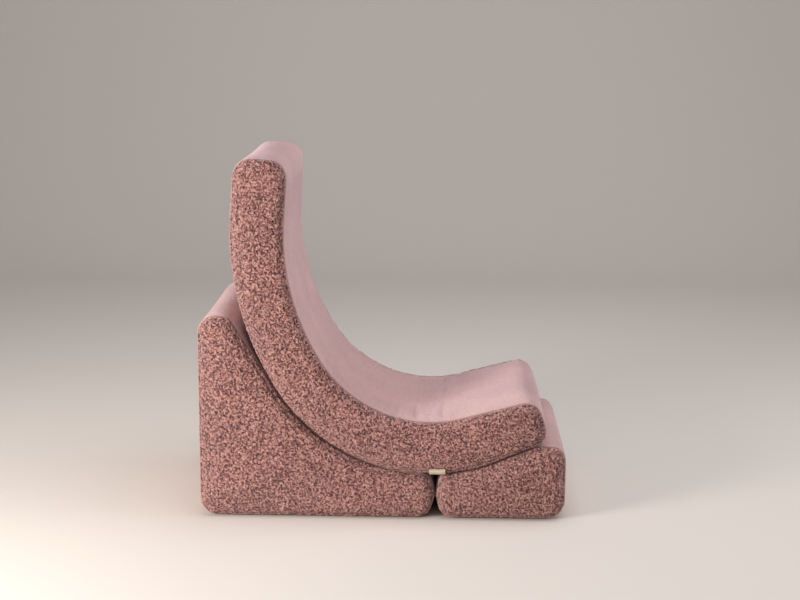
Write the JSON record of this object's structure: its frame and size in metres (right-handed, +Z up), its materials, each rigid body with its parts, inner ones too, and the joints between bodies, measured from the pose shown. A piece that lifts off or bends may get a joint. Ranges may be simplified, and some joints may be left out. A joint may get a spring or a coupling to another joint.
{
  "type": "kids armchair",
  "caption": "Low children's chair of loose foam pieces in curly pink fabric: a bowed cushion, both back and seat, rests on a tall rear block and a low front block.",
  "frame": {"origin": "on the floor, in the middle of the chair's bounding box", "axes": "+X across the chair to the sitter's left, -Y the way the sitter faces, +Z up"},
  "size_m": [0.345, 0.605, 0.5938],
  "materials": {
    "curly_fabric": "curly looped pile in dusty pink, soft sheen on the upward faces",
    "foam": null,
    "zip_tape": "woven tape",
    "zip_coil": "nylon coil",
    "zip_slider": "die-cast metal, satin",
    "tag": "smooth woven ribbon, blank"
  },
  "bodies": {
    "back_block": {"back_block_foam": "foam", "back_block_left_panel": "curly_fabric", "back_block_right_panel": "curly_fabric", "back_block_band": "curly_fabric", "back_block_zip_tape": "zip_tape", "back_block_zip_coil": "zip_coil", "back_block_base_panel": "curly_fabric"},
    "seat_cushion": {"seat_cushion_foam": "foam", "seat_cushion_left_panel": "curly_fabric", "seat_cushion_right_panel": "curly_fabric", "seat_cushion_band": "curly_fabric", "seat_cushion_zip_tape": "zip_tape", "seat_cushion_zip_coil": "zip_coil", "seat_cushion_tag": "tag"},
    "front_block": {"front_block_foam": "foam", "front_block_left_panel": "curly_fabric", "front_block_right_panel": "curly_fabric", "front_block_band": "curly_fabric", "front_block_zip_tape": "zip_tape", "front_block_zip_coil": "zip_coil", "front_block_base_panel": "curly_fabric"},
    "back_block_slider": {"back_block_zip_slider": "zip_slider"},
    "seat_cushion_slider": {"seat_cushion_zip_slider": "zip_slider"},
    "front_block_slider": {"front_block_zip_slider": "zip_slider"}
  },
  "joints": [
    {"name": "seat_cushion_lift", "type": "slide", "parent": "back_block", "child": "seat_cushion", "axis": [0, 0, 1], "range_m": [0, 0.35]},
    {"name": "front_block_slide", "type": "slide", "parent": "back_block", "child": "front_block", "axis": [0, -1, 0], "range_m": [0, 0.25]},
    {"name": "back_block_zip_run", "type": "slide", "parent": "back_block", "child": "back_block_slider", "axis": [-1, 0, 0], "range_m": [0, 0.2884]},
    {"name": "seat_cushion_zip_run", "type": "slide", "parent": "seat_cushion", "child": "seat_cushion_slider", "axis": [-1, 0, 0], "range_m": [0, 0.2884]},
    {"name": "front_block_zip_run", "type": "slide", "parent": "front_block", "child": "front_block_slider", "axis": [-1, 0, 0], "range_m": [0, 0.2884]}
  ]
}
